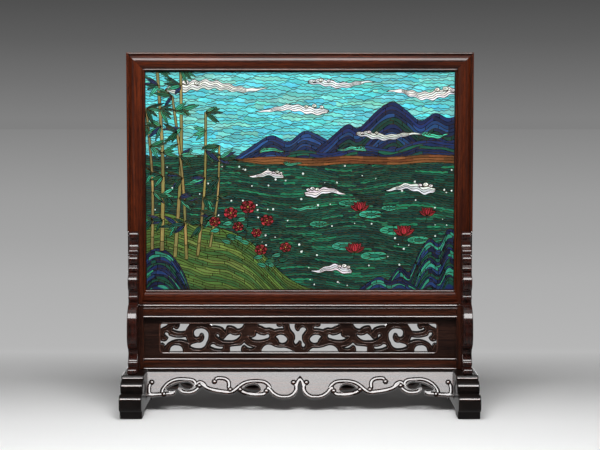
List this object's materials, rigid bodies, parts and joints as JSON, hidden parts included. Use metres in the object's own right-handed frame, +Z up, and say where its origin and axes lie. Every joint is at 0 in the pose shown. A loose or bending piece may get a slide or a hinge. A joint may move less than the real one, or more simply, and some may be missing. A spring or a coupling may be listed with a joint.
{
  "type": "table screen",
  "caption": "Table screen with an enamel landscape panel in a moulded hardwood frame that lifts out of a carved stand with a pierced waist.",
  "frame": {"origin": "on the table under the middle of the stand, midway between the feet", "axes": "+X to the right seen from the front, +Y from front to back, +Z up"},
  "size_m": [0.5696, 0.228, 0.58],
  "materials": {
    "stand_wood": "satin",
    "frame_wood": "satin",
    "board_wood": "matte",
    "copper": "satin",
    "enamel": "gloss"
  },
  "bodies": {
    "stand": {"foot_left": "stand_wood", "foot_right": "stand_wood", "post_left": "stand_wood", "post_right": "stand_wood", "spandrel_front_left": "stand_wood", "spandrel_front_right": "stand_wood", "spandrel_back_left": "stand_wood", "spandrel_back_right": "stand_wood", "upper_rail": "stand_wood", "lower_rail": "stand_wood", "waist_panel": "stand_wood", "apron_front": "stand_wood", "apron_back": "stand_wood"},
    "screen": {"stile_left": "frame_wood", "stile_right": "frame_wood", "top_rail": "frame_wood", "bottom_rail": "frame_wood", "plaque_tray": "copper", "enamel_face": "enamel", "back_board": "board_wood", "batten_left": "board_wood", "batten_right": "board_wood"}
  },
  "joints": [
    {"name": "screen_lift", "type": "slide", "parent": "stand", "child": "screen", "axis": [0, 0, 1], "range_m": [0, 0.16]}
  ]
}
